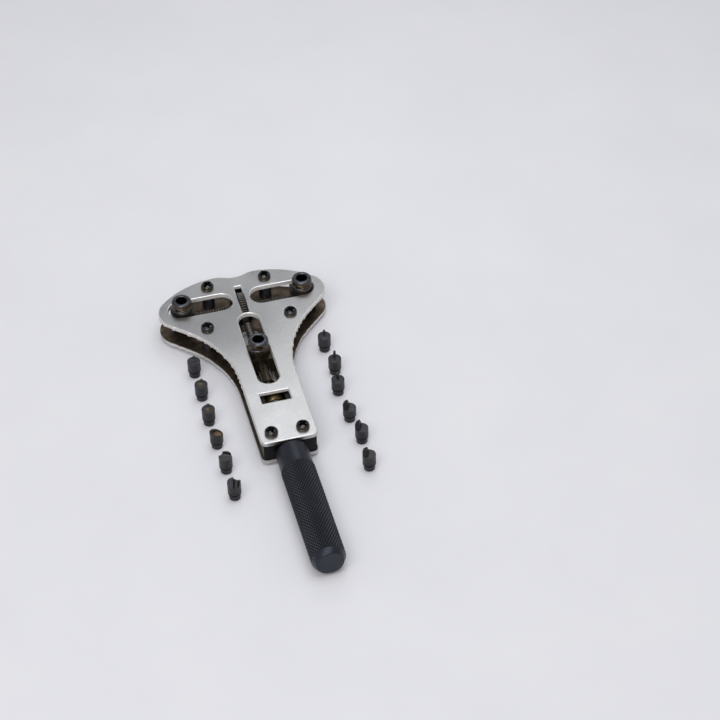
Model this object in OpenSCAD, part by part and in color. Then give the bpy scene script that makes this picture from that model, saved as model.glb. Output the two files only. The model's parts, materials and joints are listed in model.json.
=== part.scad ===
// Case back opener: a three-jaw wrench for screw-down watch case backs, with its twelve loose bits.
// Axes: X across the head, +Y from the handle towards the head, +Z up out of the sockets.
// Origin: middle of the wrench on the surface that it rests on. Millimetres.

/* [Overall] */
// Length from the handle's end to the head's top edge
tool_len = 189; // [180:1:200]
// Height of the screws' and the handle's axis over the surface it rests on
axis_z = 8.1; // [8:0.1:8.4]

/* [Plates] */
// Thickness of each plate
plate_t = 2.3; // [2:0.1:2.5]
// Thickness of the two plates with the space between them
pack_t = 13.6; // [13.2:0.2:14]
// Half the width of the neck
neck_half = 13.4; // [12.8:0.2:14]
// Distance from the head's top edge to the neck's end
plate_len = 117.1; // [116:0.1:118]
// Radius of the neck's corners
corner_r = 3; // [2:0.5:4]
// Radius of the rounded lobes at the head's sides
lobe_r = 10.9; // [10:0.1:11.5]
// Distance from the axis of symmetry to a lobe's centre
lobe_x = 30.1; // [29:0.1:31]
// Distance from the head's top edge down to a lobe's centre
lobe_d = 19.6; // [19:0.1:20]
// Radius of the concave waist between lobe and neck
waist_r = 52.3; // [50:0.1:53]
// Distance from the head's top edge down to the waist's end
waist_d = 73; // [72:0.5:74]
// Distance from the axis of symmetry to the top of each hump
hump_x = 8.2; // [7:0.1:9]
// Half the width of the notch's flat bottom
notch_half = 2.4; // [2:0.1:3]
// Depth of the notch between the humps
notch_t = 2.1; // [1.5:0.1:2.5]

/* [Slots] */
// Distance from the head's top edge down to the upper jaws' axis
jaw_d = 18.2; // [18:0.1:18.4]
// Width of the side slots
side_slot_w = 11.6; // [11.4:0.1:11.8]
// Inner end of a side slot
side_slot_in = 4.3; // [4.2:0.1:4.4]
// Outer end of a side slot
side_slot_out = 35.9; // [35.7:0.1:36]
// Width of the middle slot
mid_slot_w = 10.6; // [10.4:0.1:10.8]
// Start of the middle slot, down from the head's top edge
mid_slot_from = 29.5; // [29.4:0.1:29.8]
// End of the middle slot, down from the head's top edge
mid_slot_to = 79.2; // [79:0.1:79.4]
// Width of the slot that the thumb wheel turns in
wheel_slot_w = 3.5; // [3.4:0.1:3.6]
// Start of the wheel's slot, down from the head's top edge
wheel_slot_from = 9.3; // [9:0.1:9.8]
// End of the wheel's slot, down from the head's top edge
wheel_slot_to = 28.3; // [28:0.1:28.4]
// Width of the window over the thrust collar
window_w = 13.9; // [13.5:0.1:14.2]
// Start of the window, down from the head's top edge
window_from = 85; // [84.8:0.1:85.1]
// End of the window, down from the head's top edge
window_to = 91.6; // [91.5:0.1:91.8]

/* [Jaws] */
// Distance of the left upper jaw from the axis of symmetry, fully open
left_jaw_x = 29.3; // [29.1:0.1:29.6]
// Distance of the right upper jaw from the axis of symmetry, fully open
right_jaw_x = 30.2; // [29.9:0.1:30.2]
// Distance of the lower jaw from the head's top edge
low_jaw_d = 54.6; // [54:0.1:55]
// Radius of a bit holder's body
holder_r = 4.9; // [4.7:0.1:5]
// Radius of a bit holder's top ring
ring_r = 4.8; // [4.6:0.1:4.9]
// Height of a holder's top over the front plate
holder_up = 6; // [5.5:0.1:6.5]
// Radius of the socket for a bit's shank
socket_r = 2.65; // [2.6:0.01:2.7]
// Depth of the socket
socket_t = 5.5; // [5:0.1:5.6]

/* [Screws] */
// Outer radius of the cross screw's thread
cross_r = 2.25; // [2.1:0.05:2.4]
// Pitch of the cross screw's thread
cross_pitch = 1.25; // [1:0.25:1.5]
// Outer radius of the drive screw's thread
drive_r = 2.1; // [2:0.05:2.2]
// Pitch of the drive screw's thread
drive_pitch = 0.8; // [0.7:0.1:1]
// Outer radius of the thumb wheel
wheel_r = 7.9; // [7.4:0.1:8]
// Thickness of the thumb wheel
wheel_t = 3; // [2.8:0.1:3]
// Number of the wheel's knurl teeth
wheel_teeth = 40; // [30:2:48]
// Radius of the drive screw's plain shaft
shaft_r = 3; // [2.8:0.1:3]
// Radius of the shaft's shoulder behind the thrust collar
shoulder_r = 3.6; // [3.4:0.1:3.8]
// Outer radius of the thrust collar
collar_r = 4.3; // [4.1:0.1:4.3]
// Thickness of the thrust collar
collar_t = 3.1; // [2.8:0.1:3.4]

/* [Fasteners] */
// Radius of a front screw's head
head_r = 3.1; // [3:0.05:3.2]
// Height of a front screw's head
head_h = 2.5; // [2.2:0.1:2.6]
// Radius of a machine screw's shank
screw_r = 1.5; // [1.4:0.05:1.5]
// Radius of a spacer
spacer_r = 3.15; // [3:0.05:3.2]

/* [Handle] */
// Radius of the knurled grip
grip_r = 8.1; // [8:0.1:8.1]
// Radius of the plain ferrule
ferrule_r = 7.65; // [7.5:0.05:7.8]
// Distance from the head's top edge to the handle's front face
handle_from = 118.7; // [118.5:0.1:119]
// Distance from the head's top edge to the start of the knurl
knurl_from = 130.9; // [130:0.1:132]

/* [Bits] */
// Radius of a bit's head
bit_r = 3.1; // [3:0.05:3.15]
// Radius of a bit's shank
shank_r = 2.6; // [2.55:0.01:2.6]
// Length of a bit's shank
shank_t = 3.4; // [3:0.1:4]
// Length of a bit's head, without its tip
bit_t = 5.8; // [5:0.1:6]

/* [Hidden] */
$fn = 64;

STEEL = "#b8bab8";
BLACK = "#2b2a2a";
DARK = "#3a3733";
SPRING = "#c9b27a";
GRIP = "#1d1e20";

// clearances: turning or sliding round fits, pressed or seated pieces, and flat faces that slide
run_gap = 0.05;
seat_gap = 0.03;
side_gap = 0.2;

y_top = tool_len / 2;
back_z = axis_z - pack_t / 2;
back_in = back_z + plate_t;
front_z = axis_z + pack_t / 2;
front_in = front_z - plate_t;
gap_h = front_in - back_in;
top_arc_r = (pow(lobe_x - hump_x, 2) + pow(lobe_d, 2) - pow(lobe_r, 2)) / (2 * (lobe_d - lobe_r));
top_arc_a = atan2(top_arc_r - lobe_d, lobe_x - hump_x);
waist_x = neck_half + waist_r;
lobe_a = acos((lobe_r + waist_r) / norm([waist_x - lobe_x, waist_d - lobe_d]))
         - atan2(waist_d - lobe_d, waist_x - lobe_x);

// places of the six screws: x, and distance down from the head's top edge
screw_spots = [[14.2, 6.3], [20.35, 34.9], [7.4, 111.2]];
head_spots = [screw_spots[0], screw_spots[1]];

bearing_t = 2.3;
bearing_from = 1.7;
bearing_w = 9;
tenon_r = 0.8;
tenon_h = 1.2;
tenon_y = 2.9;
bridge_from = 8.45;
bridge_t = 1.8;
slider_w = 12;
side_block_w = 10;
low_block_w = 16;
boss_down = 0.8;
spigot_r = 3;
spigot_t = 2.9;
cross_len = 73;
thread_depth = 0.44;
barrel_r = 3.2;
barrel_t = 13;
block_from = 80.3;
block_half = 12.4;
pocket_from = 84.1;
pocket_to = 92.4;
pocket_half = 4.8;
socket_in_handle = 12;
knurl_end_t = 2.8;
back_head_r = 3;
back_head_h = back_z;
recess_w = 0.8;
seat_r = 2.6;
collar_from = pocket_from + 0.1;
pin_r = 0.75;
pin_d = collar_from + collar_t / 2;
set_d = handle_from + 6.2;

// where each loose bit stands, and how far it is turned about its own axis
square_at = [[-30.6, 45.4, 76], [-30.6, 29.1, 76], [-30.9, 12.1, 78]];
prong_at = [[-30.6, -3.6, 14], [-30, -20.2, 62], [-29.9, -37.3, -14]];
pin_at = [[33.3, 45.6, 77], [34.1, 28.9, 76], [32, 14.9, 76]];
claw_at = [[32.7, -3.6, 150], [34.5, -18.7, 147], [33.3, -36.3, 152]];
// size step within each set of three
grade = [0.9, 1, 1.1];
// each grooved prong bit: its groove's radius, how far the groove is to one side, the groove's
// axis and the prongs' tops over the plain head's top
prong_groove = [[1.35, 1, 0.4, 0.7], [1.5, 1.1, 0.8, 0.9]];
// how far the pin bits' pins stand over the plain head's top
pin_tip_t = [2.4, 3.6, 2.9];
// heights of the claw bits' heads, and of their claws' tips, over the shank
claw_low = [4.5, 5.3, 5.6];
claw_high = [9.2, 10.2, 10];

function down(d) = y_top - d;
function arc(cx, cy, r, from, to, n) =
  [for (i = [0:n]) let (a = from + (to - from) * i / n) [cx + r * cos(a), cy + r * sin(a)]];
function half_outline() = concat(
  [[notch_half, down(notch_t)]],
  arc(hump_x, down(top_arc_r), top_arc_r, 90, top_arc_a, 14),
  arc(lobe_x, down(lobe_d), lobe_r, top_arc_a - 4, lobe_a, 22),
  arc(waist_x, down(waist_d), waist_r, 180 + lobe_a, 180, 16),
  arc(neck_half - corner_r, down(plate_len - corner_r), corner_r, 0, -90, 6));
function mirrored(pts) = [for (i = [len(pts) - 1:-1:0]) [-pts[i][0], pts[i][1]]];

module both_sides() {
  children();
  mirror([1, 0, 0]) children();
}

module at_spots(spots) {
  for (p = spots)
    both_sides() translate([p[0], down(p[1]), 0]) children();
}

// a slot with round ends, cut along Z, between two points
module slot_cut(a, b, w, z, h) {
  along = b - a;
  for (p = [a, b])
    translate([p[0], p[1], z]) cylinder(d = w, h = h);
  translate([(a + b)[0] / 2, (a + b)[1] / 2, z + h / 2])
    rotate([0, 0, atan2(along[1], along[0])]) cube([norm(along), w, h], center = true);
}

// one plate: the outline with its slots, window and screw holes, and blind seats for the bearings
module plate(z, seat_z) {
  low = z - 1;
  cut = plate_t + 2;
  difference() {
    translate([0, 0, z]) linear_extrude(plate_t)
      polygon(concat(half_outline(), mirrored(half_outline())));
    both_sides() slot_cut([side_slot_in + side_slot_w / 2, down(jaw_d)],
                          [side_slot_out - side_slot_w / 2, down(jaw_d)], side_slot_w, low, cut);
    slot_cut([0, down(mid_slot_from + mid_slot_w / 2)], [0, down(mid_slot_to - mid_slot_w / 2)],
             mid_slot_w, low, cut);
    translate([-wheel_slot_w / 2, down(wheel_slot_to), low])
      cube([wheel_slot_w, wheel_slot_to - wheel_slot_from, cut]);
    translate([-window_w / 2, down(window_to), low]) cube([window_w, window_to - window_from, cut]);
    at_spots(screw_spots) translate([0, 0, low]) cylinder(r = screw_r + 0.1, h = cut);
    both_sides() for (s = [-1, 1])
      translate([bearing_from + bearing_t / 2, down(jaw_d) + s * tenon_y, seat_z])
        cylinder(r = tenon_r + run_gap, h = 2 * (tenon_h + run_gap), center = true);
  }
}

module front_plate() { color(STEEL) plate(front_z - plate_t, front_in); }
module back_plate() { color(STEEL) plate(back_z, back_in); }

// tapped tubes that hold the plates apart
module head_spacers() {
  color(BLACK) at_spots(head_spots) difference() {
    translate([0, 0, back_in]) cylinder(r = spacer_r, h = gap_h);
    translate([0, 0, back_in - 1]) cylinder(r = screw_r + run_gap, h = gap_h + 2);
  }
}

// block that fills the neck between the plates: its pocket holds the thrust collar, its rear bore
// carries the drive screw's shaft, and its front bore lets the lower slider's barrel in
module neck_block() {
  to = plate_len - 0.5;
  color(BLACK) difference() {
    translate([-block_half, down(to), back_in]) cube([2 * block_half, to - block_from, gap_h]);
    translate([-pocket_half, down(pocket_to), back_in - 1])
      cube([2 * pocket_half, pocket_to - pocket_from, gap_h + 2]);
    along_handle(pocket_to - 1) cylinder(r = shaft_r + run_gap, h = to);
    along_handle(block_from - 1) cylinder(r = barrel_r + side_gap, h = pocket_from - block_from + 2);
    at_spots([screw_spots[2]]) translate([0, 0, back_in - 1])
      cylinder(r = screw_r + run_gap, h = gap_h + 2);
  }
}

// cross recess, cut down from z
module cross_recess(w, len, depth) {
  for (a = [0, 90])
    rotate([0, 0, a]) translate([-len / 2, -w / 2, -depth]) cube([len, w, depth + 1]);
}

// pan head screw, its head's underside at z = 0 and its shank going down
module pan_screw(r, h, shank, recess) {
  dome = 0.45 * h;
  difference() {
    rotate_extrude() polygon(concat(
      [[0, -shank], [screw_r, -shank], [screw_r, 0], [r, 0], [r, h - dome - 0.1 * h]],
      [for (i = [1:6]) let (a = 15 * i) [r - dome * (1 - cos(a)), h - dome * (1 - sin(a))]],
      [[0, h]]));
    translate([0, 0, h]) cross_recess(recess_w, 1.5 * r, recess);
  }
}

module front_screws() {
  color(BLACK) at_spots(screw_spots) translate([0, 0, front_z])
    rotate([0, 0, 20]) pan_screw(head_r, head_h, 5.2, 1.2);
}

module back_screws() {
  color(BLACK) at_spots(screw_spots) translate([0, 0, back_z])
    mirror([0, 0, 1]) rotate([0, 0, 35]) difference() {
      union() {
        cylinder(r = back_head_r, h = back_head_h);
        translate([0, 0, -5.6]) cylinder(r = screw_r, h = 5.7);
      }
      translate([0, 0, back_head_h]) cross_recess(recess_w, 2.9, 0.8);
    }
}

// one bearing of the cross screw, with tenons that seat in both plates; its arm reaches past the
// thumb wheel and turns in, so that the two bearings close the wheel's space towards the head
module bearing() {
  arm_to = bridge_from + bridge_t;
  translate([0, down(jaw_d), 0]) difference() {
    union() {
      translate([bearing_from, -bearing_w / 2, back_in])
        cube([bearing_t, bearing_w / 2 + arm_to, gap_h]);
      translate([run_gap, bridge_from, back_in])
        cube([bearing_from + bearing_t - run_gap, bridge_t, gap_h]);
      for (s = [-1, 1])
        translate([bearing_from + bearing_t / 2, s * tenon_y, back_in - tenon_h])
          cylinder(r = tenon_r, h = gap_h + 2 * tenon_h);
    }
    translate([0, 0, axis_z]) rotate([0, 90, 0]) cylinder(r = cross_r + run_gap, h = 10);
  }
}

module right_bearing() { color(DARK) bearing(); }
module left_bearing() { color(DARK) mirror([1, 0, 0]) bearing(); }

// zigzag of a thread's section from a to b, as radius and distance along the axis
function thread(r, pitch, a, b) = let (n = floor((b - a) / pitch)) [
  for (i = [0:n - 1]) each [
    [r, a + i * pitch], [r, a + (i + 0.2) * pitch],
    [r - thread_depth * pitch, a + (i + 0.6) * pitch]]];

// shaft that draws both upper jaws: its two halves are threaded opposite ways
module cross_screw() {
  half = cross_len / 2;
  grip = bearing_from + bearing_t + 0.6;
  color(DARK) translate([0, down(jaw_d), axis_z]) both_sides() rotate([0, 90, 0])
    rotate_extrude() polygon(concat(
      [[0, 0], [cross_r, 0], [cross_r, grip]],
      thread(cross_r, cross_pitch, grip + 0.3, half - 0.8),
      [[cross_r - thread_depth * cross_pitch, half], [0, half]]));
}

module thumb_wheel() {
  tooth_t = 0.4;
  color(DARK) translate([0, down(jaw_d), axis_z]) rotate([0, 90, 0]) difference() {
    linear_extrude(wheel_t, center = true) polygon([
      for (i = [0:2 * wheel_teeth - 1])
        let (a = 180 * i / wheel_teeth, r = wheel_r - (i % 2) * tooth_t) [r * cos(a), r * sin(a)]]);
    cylinder(r = cross_r + seat_gap, h = 2 * wheel_t, center = true);
  }
}

// sliding nut: a block between the plates, and a round boss in each plate's slot
module slider(block, slot_w, turn, bore_r) {
  boss_r = slot_w / 2 - side_gap;
  difference() {
    union() {
      translate([-block[0] / 2, -block[1] / 2, back_in + side_gap])
        cube([block[0], block[1], gap_h - 2 * side_gap]);
      translate([0, 0, back_z + side_gap]) cylinder(r = boss_r, h = pack_t - side_gap - boss_down);
    }
    translate([0, 0, axis_z]) rotate([0, 0, turn]) rotate([0, 90, 0])
      cylinder(r = bore_r + run_gap, h = 40, center = true);
    translate([0, 0, front_z - boss_down - spigot_t - run_gap])
      cylinder(r = spigot_r + seat_gap, h = spigot_t + 1);
  }
}

// turned bit holder with a blind socket, a spring's groove, and a spigot that seats in its slider
module holder() {
  foot = front_z - boss_down;
  top = front_z + holder_up;
  groove = top - 3.4;
  groove_r = 3.85;
  difference() {
    rotate_extrude() polygon([
      [0, foot - spigot_t], [spigot_r, foot - spigot_t], [spigot_r, foot], [holder_r, foot],
      [holder_r, groove - 0.9], [holder_r - 0.3, groove - 0.5], [groove_r, groove - 0.5],
      [groove_r, groove + 0.5], [ring_r - 0.2, groove + 0.5], [ring_r, groove + 0.7],
      [ring_r, top - 0.9], [ring_r - 0.25, top - 0.35], [ring_r - 0.9, top], [0, top]]);
    translate([0, 0, top - socket_t]) cylinder(r = socket_r, h = socket_t + 1);
  }
}

// split ring in the holder's groove that grips a bit's shank
module spring() {
  wire_r = 0.42;
  color(SPRING) translate([0, 0, front_z + holder_up - 3.4]) rotate([0, 0, 250])
    rotate_extrude(angle = 325) translate([3.88 + wire_r, 0]) circle(r = wire_r, $fn = 24);
}

module at_left() { translate([-left_jaw_x, down(jaw_d), 0]) children(); }
module at_right() { translate([right_jaw_x, down(jaw_d), 0]) children(); }
module at_lower() { translate([0, down(low_jaw_d), 0]) children(); }

module left_slider() {
  color(DARK) at_left() slider([side_block_w, slider_w], side_slot_w, 0, cross_r);
}
module right_slider() {
  color(DARK) at_right() slider([side_block_w, slider_w], side_slot_w, 0, cross_r);
}
// the lower slider's nut runs on into a barrel towards the handle
module lower_slider() {
  color(DARK) at_lower() difference() {
    union() {
      slider([low_block_w, slider_w], mid_slot_w, 90, drive_r);
      translate([0, 0.1 - slider_w / 2, axis_z]) rotate([90, 0, 0])
        cylinder(r = barrel_r, h = barrel_t + 0.1);
    }
    translate([0, 0, axis_z]) rotate([90, 0, 0]) cylinder(r = drive_r + run_gap, h = 40);
  }
}
module left_holder() { color(BLACK) at_left() holder(); }
module right_holder() { color(BLACK) at_right() holder(); }
module lower_holder() { color(BLACK) at_lower() holder(); }
module left_spring() { at_left() spring(); }
module right_spring() { at_right() spring(); }
module lower_spring() { at_lower() spring(); }

// puts what is drawn along +Z onto the handle's axis, running from d towards the handle's end
module along_handle(d) { translate([0, down(d), axis_z]) rotate([90, 0, 0]) children(); }

// screw that the handle turns: thread for the lower jaw, the collar's seat, a shoulder that bears
// on the neck block, and a plain shaft to the handle
module drive_screw() {
  tip_d = 30.4;
  shoulder_from = collar_from + collar_t + 0.02;
  shoulder_to = pocket_to - 0.1;
  end_d = handle_from + socket_in_handle;
  color(DARK) difference() {
    along_handle(0) rotate_extrude() polygon(concat(
      [[0, tip_d], [drive_r - 0.9, tip_d], [drive_r - 0.4, tip_d + 0.5]],
      thread(drive_r, drive_pitch, tip_d + 0.6, pocket_from - 0.6),
      [[drive_r, collar_from], [seat_r, collar_from], [seat_r, shoulder_from],
       [shoulder_r, shoulder_from], [shoulder_r, shoulder_to], [shaft_r, shoulder_to],
       [shaft_r, end_d - 0.5], [shaft_r - 0.5, end_d], [0, end_d]]));
    translate([0, down(pin_d), axis_z]) rotate([0, 90, 0])
      cylinder(r = pin_r + seat_gap, h = 20, center = true);
  }
}

// collar in the neck block's pocket, which stops the drive screw from moving towards the head
module thrust_collar() {
  edge = 0.4;
  color(DARK) difference() {
    along_handle(collar_from) rotate_extrude() polygon([
      [seat_r + seat_gap, 0], [collar_r - edge, 0], [collar_r, edge], [collar_r, collar_t - edge],
      [collar_r - edge, collar_t], [seat_r + seat_gap, collar_t]]);
    translate([0, down(pin_d), axis_z]) rotate([0, 90, 0])
      cylinder(r = pin_r + seat_gap, h = 20, center = true);
  }
}

module collar_pin() {
  color(STEEL) translate([0, down(pin_d), axis_z]) rotate([0, 90, 0])
    cylinder(r = pin_r, h = 2 * collar_r - 0.6, center = true);
}

// turned handle: plain ferrule, knurled grip, and a chamfered end
module handle_grip() {
  length = tool_len - handle_from;
  knurl = knurl_from - handle_from;
  knurl_end = length - knurl_end_t;
  color(GRIP) difference() {
    along_handle(handle_from) rotate_extrude() polygon([
      [0, 0], [ferrule_r - 0.6, 0], [ferrule_r, 0.6], [ferrule_r, knurl], [grip_r, knurl + 0.4],
      [grip_r, knurl_end], [grip_r - 1.8, length], [0, length]]);
    along_handle(handle_from - 1) cylinder(r = shaft_r + seat_gap, h = socket_in_handle + 1.1);
    translate([0, down(set_d), -1]) cylinder(r = screw_r + run_gap, h = axis_z + 1);
  }
}

// grub screw under the ferrule that locks the handle onto the drive screw
module handle_set_screw() {
  low = axis_z - ferrule_r + 0.4;
  high = axis_z - shaft_r;
  color(BLACK) translate([0, down(set_d), 0]) difference() {
    translate([0, 0, low]) cylinder(r = screw_r, h = high - low);
    translate([0, 0, low - 1]) cylinder(r = 0.85, h = 2.2, $fn = 6);
  }
}

// shank and plain head that every bit has, with its head cut off at height z
module bit_body(z) {
  rotate_extrude() polygon([
    [0, 0], [shank_r - 0.3, 0], [shank_r, 0.3], [shank_r, shank_t - 0.2],
    [bit_r - 0.2, shank_t - 0.2], [bit_r, shank_t], [bit_r, z], [0, z]]);
}

module place_bit(p) { color(DARK) translate([p[0], p[1], 0]) rotate([0, 0, p[2]]) children(); }

bit_top = shank_t + bit_t;

// square tab standing at one side of a dimpled head
module bit_square(i) {
  tab = 1.3 * grade[i];
  tab_h = 0.6;
  dimple_r = 1.3;
  place_bit(square_at[i]) difference() {
    union() {
      bit_body(bit_top);
      intersection() {
        bit_body(bit_top + tab_h);
        translate([bit_r - tab - 0.1, -tab / 2, shank_t + 1]) cube([tab, tab, 20]);
      }
    }
    translate([0, 0, bit_top - 0.8]) cylinder(r1 = 0, r2 = 1.5 * dimple_r, h = 1.2);
  }
}

// a round cup in a head whose top is cut at a slope, so that its rim has one high side
module bit_cup() {
  slope = 20;
  rim_down = 0.5;
  cup_r = 2.1;
  cup_down = 1.9;
  off = 0.4;
  place_bit(prong_at[0]) difference() {
    bit_body(bit_top + 1);
    translate([0, 0, bit_top - rim_down]) rotate([0, slope, 0]) translate([-10, -10, 0]) cube(20);
    translate([off, 0, bit_top - cup_down]) cylinder(r = cup_r, h = 10);
  }
}

// prongs left by a round groove across the head
module bit_prong(i) {
  groove = prong_groove[i];
  place_bit(prong_at[i + 1]) difference() {
    bit_body(bit_top + groove[3]);
    translate([groove[1], 0, bit_top + groove[2]]) rotate([90, 0, 0])
      cylinder(r = groove[0], h = 20, center = true);
  }
}

// pin beside the middle of a coned head
module bit_pin(i) {
  pin_tip_r = 0.6 * grade[i];
  off = 1;
  place_bit(pin_at[i]) union() {
    bit_body(bit_top - 0.2);
    translate([0, 0, bit_top - 0.21]) cylinder(r1 = bit_r, r2 = 1.8, h = 0.41);
    translate([off, 0, bit_top - 0.5]) cylinder(r = pin_tip_r, h = 0.5 + pin_tip_t[i]);
  }
}

// pointed claw left standing at one side of a lower head
module bit_claw(i) {
  low = shank_t + claw_low[i];
  high = shank_t + claw_high[i];
  mid = (low + high) / 2;
  half = 2;
  foot = 0.4;
  apex = 0.9;
  place_bit(claw_at[i]) union() {
    bit_body(low);
    intersection() {
      bit_body(high);
      translate([0, 10, 0]) rotate([90, 0, 0]) linear_extrude(20) polygon([
        [foot, low - 1], [foot, low], [apex, high], [apex + 0.2, high],
        [bit_r - 0.3, mid], [bit_r + 1, low], [bit_r + 1, low - 1]]);
      translate([-5, 0, 0]) rotate([90, 0, 90]) linear_extrude(10) polygon([
        [-half, low - 1], [half, low - 1], [half, low], [0.62 * half, mid],
        [0.15, high], [-0.15, high], [-0.62 * half, mid], [-half, low]]);
    }
  }
}

front_plate();
back_plate();
head_spacers();
neck_block();
front_screws();
back_screws();
left_bearing();
right_bearing();
cross_screw();
thumb_wheel();
left_slider();
right_slider();
lower_slider();
left_holder();
right_holder();
lower_holder();
left_spring();
right_spring();
lower_spring();
drive_screw();
thrust_collar();
collar_pin();
handle_grip();
handle_set_screw();
bit_square(0);  // bit_square_1
bit_square(1);  // bit_square_2
bit_square(2);  // bit_square_3
bit_cup();  // bit_prong_1
bit_prong(0);  // bit_prong_2
bit_prong(1);  // bit_prong_3
bit_pin(0);  // bit_pin_1
bit_pin(1);  // bit_pin_2
bit_pin(2);  // bit_pin_3
bit_claw(0);  // bit_claw_1
bit_claw(1);  // bit_claw_2
bit_claw(2);  // bit_claw_3
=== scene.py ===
import json
import math

import bmesh
import bpy
import numpy as np
from mathutils import Matrix, Vector, noise
from mathutils.geometry import delaunay_2d_cdt

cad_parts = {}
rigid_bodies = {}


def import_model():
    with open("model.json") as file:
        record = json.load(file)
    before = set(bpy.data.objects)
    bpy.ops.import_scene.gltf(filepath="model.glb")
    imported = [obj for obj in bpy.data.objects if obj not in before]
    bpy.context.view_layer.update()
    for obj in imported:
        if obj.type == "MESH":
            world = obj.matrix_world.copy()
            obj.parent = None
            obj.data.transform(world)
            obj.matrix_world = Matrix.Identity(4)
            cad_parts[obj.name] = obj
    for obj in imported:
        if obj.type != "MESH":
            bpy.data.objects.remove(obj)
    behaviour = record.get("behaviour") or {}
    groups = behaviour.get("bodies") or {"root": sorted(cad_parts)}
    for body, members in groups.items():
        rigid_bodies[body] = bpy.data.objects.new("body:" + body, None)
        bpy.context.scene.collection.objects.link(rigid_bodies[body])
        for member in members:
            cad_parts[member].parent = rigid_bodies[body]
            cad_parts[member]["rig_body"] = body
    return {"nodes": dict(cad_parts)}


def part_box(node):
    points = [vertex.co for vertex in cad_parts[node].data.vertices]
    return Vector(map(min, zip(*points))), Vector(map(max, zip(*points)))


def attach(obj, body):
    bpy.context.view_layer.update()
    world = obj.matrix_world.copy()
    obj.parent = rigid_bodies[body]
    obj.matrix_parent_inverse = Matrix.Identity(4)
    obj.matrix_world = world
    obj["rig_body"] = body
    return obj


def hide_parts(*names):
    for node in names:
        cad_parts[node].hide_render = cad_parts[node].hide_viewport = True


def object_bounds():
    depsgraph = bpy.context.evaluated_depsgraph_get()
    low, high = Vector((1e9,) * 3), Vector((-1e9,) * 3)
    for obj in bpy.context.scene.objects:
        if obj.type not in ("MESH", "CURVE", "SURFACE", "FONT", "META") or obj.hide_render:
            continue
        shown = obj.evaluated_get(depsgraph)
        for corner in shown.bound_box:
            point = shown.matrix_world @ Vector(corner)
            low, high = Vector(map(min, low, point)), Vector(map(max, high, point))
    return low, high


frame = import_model()
cad_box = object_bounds()
nodes = frame["nodes"]

MM = 0.001
TURN = 2 * math.pi
ROUND_STEPS = 5  # rows of faces round a slab's edge

# ---------------------------------------------------------------- places taken from the frame

front_low, front_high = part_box("front_plate")
back_low, back_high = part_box("back_plate")
head_y = front_high.y
wheel_low, wheel_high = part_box("thumb_wheel")
drive_low, drive_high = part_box("drive_screw")
cross_low, cross_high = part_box("cross_screw")
handle_low, handle_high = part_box("handle_grip")
axis_z = (wheel_low.z + wheel_high.z) / 2
jaw_y = (wheel_low.y + wheel_high.y) / 2


def down(d):
    """Y of a place d millimetres down from the head's top edge."""
    return head_y - d * MM


# ---------------------------------------------------------------- mesh helpers


def new_piece(name, verts, faces, material, sharp=35):
    """A shaded object from points and faces; edges sharper than that many degrees stay sharp."""
    mesh = bpy.data.meshes.new(name)
    mesh.from_pydata([tuple(v) for v in verts], [], faces)
    mesh.validate()
    mesh.materials.append(material)
    mesh.shade_smooth()
    mesh.set_sharp_from_angle(angle=math.radians(sharp))
    obj = bpy.data.objects.new(name, mesh)
    bpy.context.scene.collection.objects.link(obj)
    return obj


def point_values(obj, name, values):
    """Stores one number for each point of a mesh, for its material to read."""
    attribute = obj.data.attributes.new(name, "FLOAT", "POINT")
    attribute.data.foreach_set("value", np.asarray(values, np.float32))


def face_values(obj, name, share):
    """Stores a share for each face, worked out from where its middle is."""
    attribute = obj.data.attributes.new(name, "FLOAT", "FACE")
    for spot, face in zip(attribute.data, obj.data.polygons):
        spot.value = float(share(face.center))


def weigh_normals(obj):
    """Lets large flat faces keep their flat shading next to small rounded edges."""
    modifier = obj.modifiers.new("flat_faces", "WEIGHTED_NORMAL")
    modifier.keep_sharp = True


def stand_for(obj, node):
    """The piece takes the place of a CAD node, and rides where that node rides."""
    body = nodes[node]["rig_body"]
    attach(obj, body)
    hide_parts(node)


def edge_wear(obj, reach=0.7):
    """Marks points by how sharply the surface bends there, so that edges can look worn and carry a
    painted highlight.
    """
    bm = bmesh.new()
    bm.from_mesh(obj.data)
    bend = np.zeros(len(bm.verts))
    for edge in bm.edges:
        if len(edge.link_faces) == 2:
            angle = edge.calc_face_angle_signed(0.0)
            for vert in edge.verts:
                bend[vert.index] = max(bend[vert.index], angle / reach)
    bm.free()
    point_values(obj, "edge", np.clip(bend, 0, 1))


def rounded(corners, steps=4):
    """Rounds a profile: corners are (along, radius, round) in millimetres, out come metres."""
    out = []
    for i, (s, r, size) in enumerate(corners):
        here = Vector((s, r))
        if size == 0 or i in (0, len(corners) - 1):
            out.append(here * MM)
            continue
        before = Vector(corners[i - 1][:2]) - here
        after = Vector(corners[i + 1][:2]) - here
        a = here + before.normalized() * min(size, before.length * 0.49)
        b = here + after.normalized() * min(size, after.length * 0.49)
        for k in range(steps + 1):
            t = k / steps
            out.append((a * (1 - t) ** 2 + here * 2 * t * (1 - t) + b * t * t) * MM)
    return out


def lathe(profile, columns, shape=None):
    """Points and faces of a turned solid about +Z; shape(row, along, angle) adds to the radius.
    The profile runs from axis to axis, so the solid is closed."""
    verts = []
    rows = []
    for j, (along, radius) in enumerate(profile):
        if radius < 1e-7:
            rows.append([len(verts)] * columns)
            verts.append((0, 0, along))
            continue
        rows.append(list(range(len(verts), len(verts) + columns)))
        for c in range(columns):
            a = TURN * c / columns
            r = radius + (shape(j, along, a) if shape else 0)
            verts.append((r * math.cos(a), r * math.sin(a), along))
    faces = []
    for low, high in zip(rows, rows[1:]):
        for c in range(columns):
            n = (c + 1) % columns
            face = list(dict.fromkeys((low[c], low[n], high[n], high[c])))
            if len(face) > 2:
                faces.append(face)
    return verts, faces


def placed(verts, matrix):
    """The points moved by a matrix."""
    return [matrix @ Vector(v) for v in verts]


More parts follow.
